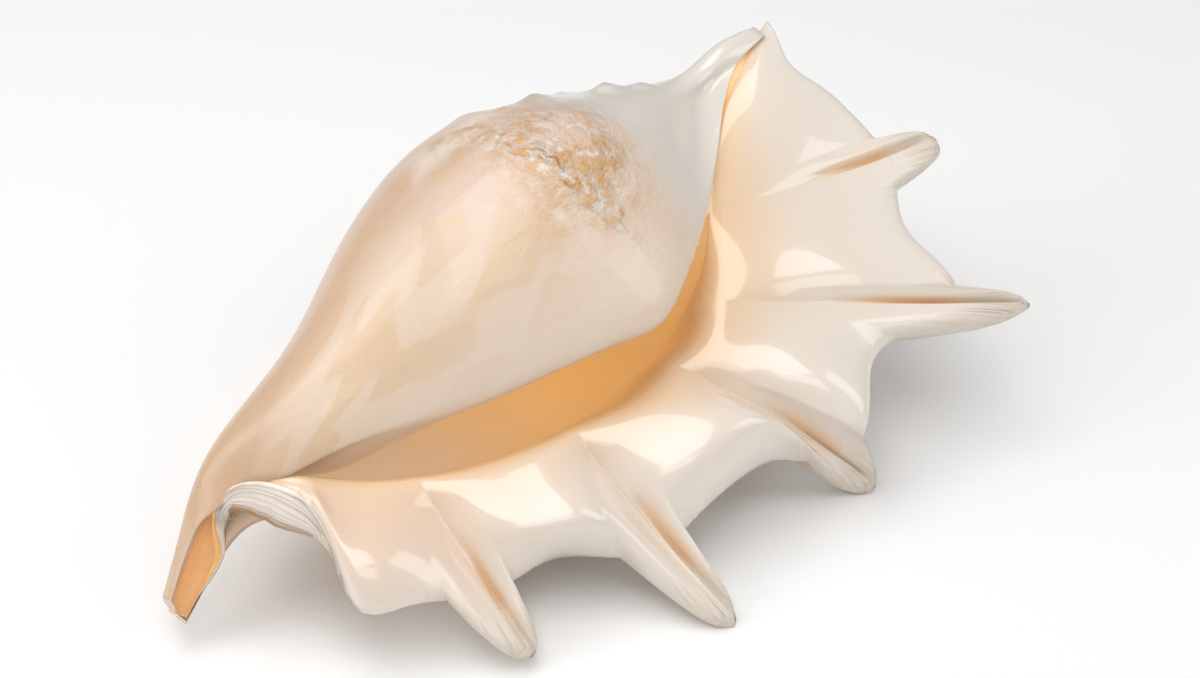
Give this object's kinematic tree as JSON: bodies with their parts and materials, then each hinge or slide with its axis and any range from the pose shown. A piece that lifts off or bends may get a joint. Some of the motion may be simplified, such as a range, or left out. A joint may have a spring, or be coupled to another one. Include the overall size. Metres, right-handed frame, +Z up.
{
  "type": "spider conch shell",
  "caption": "Large spider conch shell, cleaned and empty, lying on its back with the aperture up and a flared, fingered lip.",
  "frame": {"origin": "centre of the shell's box at the ground it lies on", "axes": "+X along the ground from the siphonal canal to the spire end, +Z up, so the aperture faces up and the flared lip is towards -Y"},
  "size_m": [0.2922, 0.1882, 0.1232],
  "materials": {
    "shell": "glossy porcelain-like lip, satin body"
  },
  "bodies": {
    "root": {"conch_shell": "shell"}
  },
  "joints": []
}
